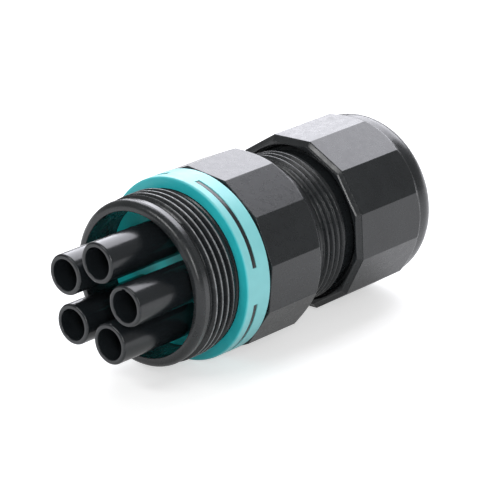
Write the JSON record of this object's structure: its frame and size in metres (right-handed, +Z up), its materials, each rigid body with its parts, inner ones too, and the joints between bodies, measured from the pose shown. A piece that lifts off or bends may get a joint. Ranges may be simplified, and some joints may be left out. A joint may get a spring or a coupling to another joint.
{
  "type": "sealed wire connector",
  "caption": "Sealed cable connector half: threaded front collar around contact sleeves, coloured seal ring, faceted body and a cable gland nut on a threaded spigot.",
  "frame": {"origin": "on the axis, in the plane of the shell's front rim, where the mating half couples", "axes": "+X along the axis from the mating end to the cable end, +Z up with the connector lying on its side, a flat of the nut facing straight down"},
  "size_m": [0.0843, 0.0386, 0.0386],
  "materials": {
    "black_plastic": "satin moulded",
    "black_sleeve": "semi-gloss moulded",
    "teal_ring": "satin moulded",
    "teal_insert": "satin moulded",
    "black_rubber": "matt",
    "plated_brass": "turned",
    "steel": "zinc plated"
  },
  "bodies": {
    "shell": {"connector_shell": "black_plastic", "seal_ring": "teal_ring", "cable_seal": "black_rubber"},
    "insert": {"contact_insert": "teal_insert", "contact_sleeve_1": "black_sleeve", "contact_sleeve_2": "black_sleeve", "contact_sleeve_3": "black_sleeve", "contact_sleeve_4": "black_sleeve", "contact_sleeve_5": "black_sleeve", "socket_contact_1": "plated_brass", "socket_contact_2": "plated_brass", "socket_contact_3": "plated_brass", "socket_contact_4": "plated_brass", "socket_contact_5": "plated_brass"},
    "pressure_ring": {"pressure_ring": "black_plastic"},
    "gland_nut": {"gland_nut": "black_plastic"},
    "wire_pad_1": {"wire_pad_1": "steel"},
    "clamp_screw_1": {"clamp_screw_1": "steel"},
    "wire_pad_2": {"wire_pad_2": "steel"},
    "clamp_screw_2": {"clamp_screw_2": "steel"},
    "wire_pad_3": {"wire_pad_3": "steel"},
    "clamp_screw_3": {"clamp_screw_3": "steel"},
    "wire_pad_4": {"wire_pad_4": "steel"},
    "clamp_screw_4": {"clamp_screw_4": "steel"},
    "wire_pad_5": {"wire_pad_5": "steel"},
    "clamp_screw_5": {"clamp_screw_5": "steel"}
  },
  "joints": [
    {"name": "insert_slide", "type": "slide", "parent": "shell", "child": "insert", "axis": [-1, 0, 0], "range_m": [0, 0.028]},
    {"name": "pressure_ring_slide", "type": "slide", "parent": "shell", "child": "pressure_ring", "axis": [1, 0, 0], "range_m": [-0.01, 0.0048]},
    {"name": "nut_turn", "type": "hinge", "parent": "pressure_ring", "child": "gland_nut", "pos_m": [0.0555, 0, 0], "axis": [1, 0, 0], "range_deg": [-2251, 1081]},
    {"name": "wire_pad_1_slide", "type": "slide", "parent": "insert", "child": "wire_pad_1", "axis": [0, 0.8746, 0.4848], "range_m": [-0.0024, 0]},
    {"name": "clamp_screw_1_turn", "type": "hinge", "parent": "wire_pad_1", "child": "clamp_screw_1", "pos_m": [0.02465, 0.0105, 0.00582], "axis": [0, 0.8746, 0.4848], "range_deg": [-1729, 1]},
    {"name": "wire_pad_2_slide", "type": "slide", "parent": "insert", "child": "wire_pad_2", "axis": [0, -0.1908, 0.9816], "range_m": [-0.0024, 0]},
    {"name": "clamp_screw_2_turn", "type": "hinge", "parent": "wire_pad_2", "child": "clamp_screw_2", "pos_m": [0.02465, -0.00229, 0.01178], "axis": [0, -0.1908, 0.9816], "range_deg": [-1729, 1]},
    {"name": "wire_pad_3_slide", "type": "slide", "parent": "insert", "child": "wire_pad_3", "axis": [0, -0.9925, 0.1219], "range_m": [-0.0024, 0]},
    {"name": "clamp_screw_3_turn", "type": "hinge", "parent": "wire_pad_3", "child": "clamp_screw_3", "pos_m": [0.02465, -0.01191, 0.00146], "axis": [0, -0.9925, 0.1219], "range_deg": [-1729, 1]},
    {"name": "wire_pad_4_slide", "type": "slide", "parent": "insert", "child": "wire_pad_4", "axis": [0, -0.4226, -0.9063], "range_m": [-0.0024, 0]},
    {"name": "clamp_screw_4_turn", "type": "hinge", "parent": "wire_pad_4", "child": "clamp_screw_4", "pos_m": [0.02465, -0.00507, -0.01088], "axis": [0, -0.4226, -0.9063], "range_deg": [-1729, 1]},
    {"name": "wire_pad_5_slide", "type": "slide", "parent": "insert", "child": "wire_pad_5", "axis": [0, 0.7314, -0.682], "range_m": [-0.0024, 0]},
    {"name": "clamp_screw_5_turn", "type": "hinge", "parent": "wire_pad_5", "child": "clamp_screw_5", "pos_m": [0.02465, 0.00878, -0.00818], "axis": [0, 0.7314, -0.682], "range_deg": [-1729, 1]}
  ],
  "couplings": [
    {"joint": "nut_turn", "follows": "pressure_ring_slide", "rad_per_m": 3927},
    {"joint": "clamp_screw_1_turn", "follows": "wire_pad_1_slide", "rad_per_m": 12566},
    {"joint": "clamp_screw_2_turn", "follows": "wire_pad_2_slide", "rad_per_m": 12566},
    {"joint": "clamp_screw_3_turn", "follows": "wire_pad_3_slide", "rad_per_m": 12566},
    {"joint": "clamp_screw_4_turn", "follows": "wire_pad_4_slide", "rad_per_m": 12566},
    {"joint": "clamp_screw_5_turn", "follows": "wire_pad_5_slide", "rad_per_m": 12566}
  ]
}
